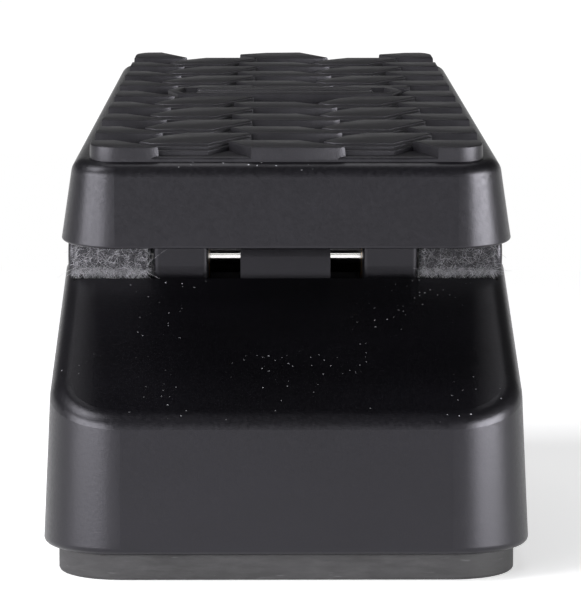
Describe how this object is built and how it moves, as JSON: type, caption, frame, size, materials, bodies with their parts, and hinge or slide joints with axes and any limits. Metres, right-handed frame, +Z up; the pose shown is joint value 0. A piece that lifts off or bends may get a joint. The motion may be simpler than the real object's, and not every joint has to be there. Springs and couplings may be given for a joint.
{
  "type": "guitar effects rocker pedal",
  "caption": "Compact wah-type guitar effects pedal: a rubber-topped treadle on a cross hinge drives a rack, pinion and potentiometer in a cast base and presses a toe footswitch.",
  "frame": {"origin": "middle of the rubber base pad's underside", "axes": "+Z up from the floor, +Y from heel to toe, +X to the player's right"},
  "size_m": [0.0784, 0.1298, 0.0783],
  "materials": {
    "black_powder_coat": "satin black powder coat over cast zinc alloy",
    "base_rubber": "scuffed matte rubber",
    "bumper_rubber": "matte rubber",
    "tread_rubber": "moulded matte rubber",
    "grey_felt": "grey wool felt",
    "polished_steel": "ground and polished steel",
    "zinc_steel": "bright zinc plated",
    "nickel_plate": "nickel plated",
    "bronze": "sintered bronze",
    "white_acetal": "natural acetal",
    "black_plastic": "moulded black plastic",
    "pot_can": "tinned steel can",
    "tinned_lugs": "tinned brass lugs",
    "board_green": "green solder mask on glass-fibre laminate",
    "ferrite": "dark ferrite",
    "copper_winding": "enamelled copper wire",
    "capacitor_sleeve": "shrunk plastic sleeve",
    "film_red": "dipped film capacitor",
    "resistor_body": "lacquered body"
  },
  "bodies": {
    "base": {"base_housing": "black_powder_coat", "bottom_plate": "zinc_steel", "bottom_plate_screws": "zinc_steel", "rubber_base_pad": "base_rubber", "felt_pad_left": "grey_felt", "felt_pad_right": "grey_felt", "heel_stop_bumpers": "bumper_rubber", "toe_bumpers": "bumper_rubber", "hinge_pin": "polished_steel", "pin_set_screw": "zinc_steel", "rack_guide": "white_acetal", "guide_screw": "zinc_steel", "potentiometer_body": "pot_can", "potentiometer_lugs": "tinned_lugs", "pot_nut": "nickel_plate", "pot_bracket": "zinc_steel", "bracket_screws": "zinc_steel", "circuit_board": "board_green", "board_screws": "zinc_steel", "inductor_core": "ferrite", "inductor_winding": "copper_winding", "electrolytic_capacitors": "capacitor_sleeve", "film_capacitors": "film_red", "resistors": "resistor_body", "transistors": "black_plastic", "voicing_switch_body": "black_plastic", "board_headers": "black_plastic", "footswitch_body": "black_plastic", "footswitch_bushing": "nickel_plate", "footswitch_lower_nut": "nickel_plate", "footswitch_washer": "nickel_plate", "footswitch_upper_nut": "nickel_plate", "footswitch_lugs": "tinned_lugs", "input_jack_body": "black_plastic", "input_jack_lugs": "tinned_lugs", "input_jack_washer": "nickel_plate", "input_jack_nut": "nickel_plate", "output_jack_body": "black_plastic", "output_jack_lugs": "tinned_lugs", "output_jack_washer": "nickel_plate", "output_jack_nut": "nickel_plate", "power_jack_body": "black_plastic", "power_jack_pin": "nickel_plate", "power_jack_nut": "nickel_plate"},
    "treadle": {"treadle_casting": "black_powder_coat", "tread_mat": "tread_rubber", "tread_badge": "tread_rubber", "hinge_bushing_left": "bronze", "hinge_bushing_right": "bronze", "rack_link_pin": "polished_steel"},
    "rack": {"gear_rack": "white_acetal"},
    "pot_spindle": {"pot_shaft": "polished_steel", "pinion_gear": "white_acetal"},
    "footswitch_button": {"footswitch_plunger": "polished_steel"},
    "voicing_slider": {"voicing_switch_slider": "black_plastic"}
  },
  "joints": [
    {"name": "treadle_hinge", "type": "hinge", "parent": "base", "child": "treadle", "pos_m": [0, -0.0186, 0.04415], "axis": [1, 0, 0], "range_deg": [-20, 3.5]},
    {"name": "rack_slide", "type": "slide", "parent": "base", "child": "rack", "axis": [0, 0, 1], "range_m": [-0.0072, 0.0014]},
    {"name": "pot_turn", "type": "hinge", "parent": "base", "child": "pot_spindle", "pos_m": [-0.005, 0.0054, 0.0188], "axis": [1, 0, 0], "range_deg": [-15.5, 84.5]},
    {"name": "footswitch_press", "type": "slide", "parent": "base", "child": "footswitch_button", "axis": [0, 0, -1], "range_m": [0, 0.003], "stiffness_N_per_m": 800, "springref_m": -0.004},
    {"name": "voicing_select", "type": "slide", "parent": "base", "child": "voicing_slider", "axis": [1, 0, 0], "range_m": [-0.0025, 0.0025]}
  ],
  "couplings": [
    {"joint": "rack_slide", "follows": "treadle_hinge", "m_per_rad": 0.02},
    {"joint": "pot_turn", "follows": "treadle_hinge", "ratio": -4.1667}
  ]
}
